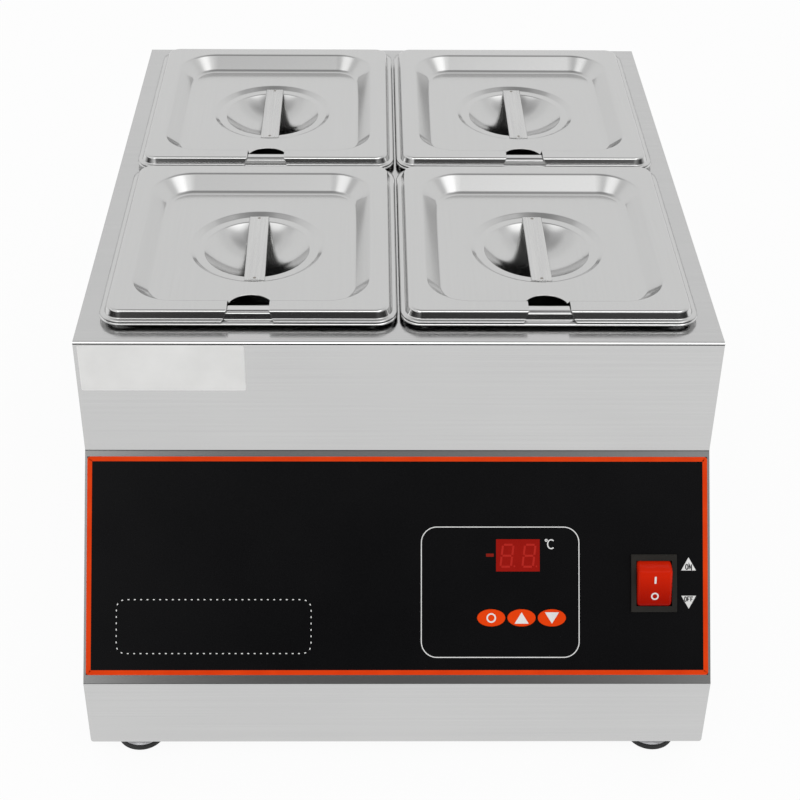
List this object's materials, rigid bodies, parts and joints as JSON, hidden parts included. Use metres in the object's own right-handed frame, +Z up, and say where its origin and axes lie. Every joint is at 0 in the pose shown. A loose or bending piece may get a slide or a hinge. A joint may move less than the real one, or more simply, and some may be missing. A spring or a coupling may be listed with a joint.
{
  "type": "chocolate melting tank",
  "caption": "Table-top chocolate melting tank: lidded pans hang in dry heated wells of a folded steel case, with a thermostat and rocker switch on its sloping front",
  "frame": {"origin": "under the middle of the whole object, on the table", "axes": "+Z up, the control panel faces -Y, +X to the right as seen from the front"},
  "size_m": [0.355, 0.4702, 0.2498],
  "materials": {
    "case_steel": "satin stainless steel sheet",
    "base_steel": "galvanised sheet",
    "pan_steel": "polished stainless steel sheet",
    "lid_steel": "satin stainless steel sheet",
    "strap_steel": "satin stainless steel strip",
    "well_aluminium": "plain aluminium",
    "silicone_pad": "moulded silicone",
    "foot_rubber": "matt rubber",
    "fastener_steel": "zinc-plated steel",
    "cutout_ceramic": "unglazed ceramic",
    "overlay_black": "satin printed film",
    "display_red": "tinted window",
    "module_plastic": "moulded plastic",
    "board_green": "solder-masked laminate",
    "standoff_brass": "turned brass",
    "black_plastic": "moulded nylon",
    "relay_blue": "moulded plastic",
    "core_iron": "laminated iron with a taped coil",
    "terminal_green": "moulded plastic",
    "button_orange": "printed satin plastic",
    "rocker_red": "translucent moulded plastic"
  },
  "bodies": {
    "root": {"back_panel": "case_steel", "back_screws": "fastener_steel", "base_plate": "base_steel", "base_screws": "fastener_steel", "board_screws": "fastener_steel", "board_standoffs": "standoff_brass", "case_wrap": "case_steel", "control_board": "board_green", "cord_gland": "black_plastic", "display_module": "module_plastic", "display_window": "display_red", "foot_discs": "fastener_steel", "foot_front_left": "foot_rubber", "foot_front_right": "foot_rubber", "foot_nuts": "fastener_steel", "foot_rear_left": "foot_rubber", "foot_rear_right": "foot_rubber", "foot_screws": "fastener_steel", "gland_locknut": "black_plastic", "heater_front_left": "silicone_pad", "heater_front_right": "silicone_pad", "heater_rear_left": "silicone_pad", "heater_rear_right": "silicone_pad", "panel_overlay": "overlay_black", "probe_clip": "fastener_steel", "relay": "relay_blue", "side_left": "case_steel", "side_right": "case_steel", "switch_blades": "standoff_brass", "switch_housing": "black_plastic", "tact_switches": "black_plastic", "temperature_probe": "fastener_steel", "terminal_block": "terminal_green", "thermal_cutouts": "cutout_ceramic", "transformer": "core_iron", "well_front_left": "well_aluminium", "well_front_right": "well_aluminium", "well_rear_left": "well_aluminium", "well_rear_right": "well_aluminium"},
    "tray_front_left": {"pan_front_left": "pan_steel"},
    "cover_front_left": {"lid_front_left": "lid_steel", "lid_handle_front_left": "strap_steel"},
    "tray_front_right": {"pan_front_right": "pan_steel"},
    "cover_front_right": {"lid_front_right": "lid_steel", "lid_handle_front_right": "strap_steel"},
    "tray_rear_left": {"pan_rear_left": "pan_steel"},
    "cover_rear_left": {"lid_rear_left": "lid_steel", "lid_handle_rear_left": "strap_steel"},
    "tray_rear_right": {"pan_rear_right": "pan_steel"},
    "cover_rear_right": {"lid_rear_right": "lid_steel", "lid_handle_rear_right": "strap_steel"},
    "set_button_body": {"set_button": "button_orange"},
    "up_button_body": {"up_button": "button_orange"},
    "down_button_body": {"down_button": "button_orange"},
    "rocker_body": {"switch_rocker": "rocker_red"}
  },
  "joints": [
    {"name": "pan_front_left_lift", "type": "slide", "parent": "root", "child": "tray_front_left", "axis": [0, 0, 1], "range_m": [0, 0.13]},
    {"name": "lid_front_left_lift", "type": "slide", "parent": "tray_front_left", "child": "cover_front_left", "axis": [0, 0, 1], "range_m": [0, 0.08]},
    {"name": "pan_front_right_lift", "type": "slide", "parent": "root", "child": "tray_front_right", "axis": [0, 0, 1], "range_m": [0, 0.13]},
    {"name": "lid_front_right_lift", "type": "slide", "parent": "tray_front_right", "child": "cover_front_right", "axis": [0, 0, 1], "range_m": [0, 0.08]},
    {"name": "pan_rear_left_lift", "type": "slide", "parent": "root", "child": "tray_rear_left", "axis": [0, 0, 1], "range_m": [0, 0.13]},
    {"name": "lid_rear_left_lift", "type": "slide", "parent": "tray_rear_left", "child": "cover_rear_left", "axis": [0, 0, 1], "range_m": [0, 0.08]},
    {"name": "pan_rear_right_lift", "type": "slide", "parent": "root", "child": "tray_rear_right", "axis": [0, 0, 1], "range_m": [0, 0.13]},
    {"name": "lid_rear_right_lift", "type": "slide", "parent": "tray_rear_right", "child": "cover_rear_right", "axis": [0, 0, 1], "range_m": [0, 0.08]},
    {"name": "set_button_press", "type": "slide", "parent": "root", "child": "set_button_body", "axis": [0, 0.8178, -0.5755], "range_m": [0, 0.0004], "stiffness_N_per_m": 600},
    {"name": "up_button_press", "type": "slide", "parent": "root", "child": "up_button_body", "axis": [0, 0.8178, -0.5755], "range_m": [0, 0.0004], "stiffness_N_per_m": 600},
    {"name": "down_button_press", "type": "slide", "parent": "root", "child": "down_button_body", "axis": [0, 0.8178, -0.5755], "range_m": [0, 0.0004], "stiffness_N_per_m": 600},
    {"name": "switch_rocker_tilt", "type": "hinge", "parent": "root", "child": "rocker_body", "pos_m": [0.1453, -0.1994, 0.10285], "axis": [-1, 0, 0], "range_deg": [0, 30]}
  ]
}
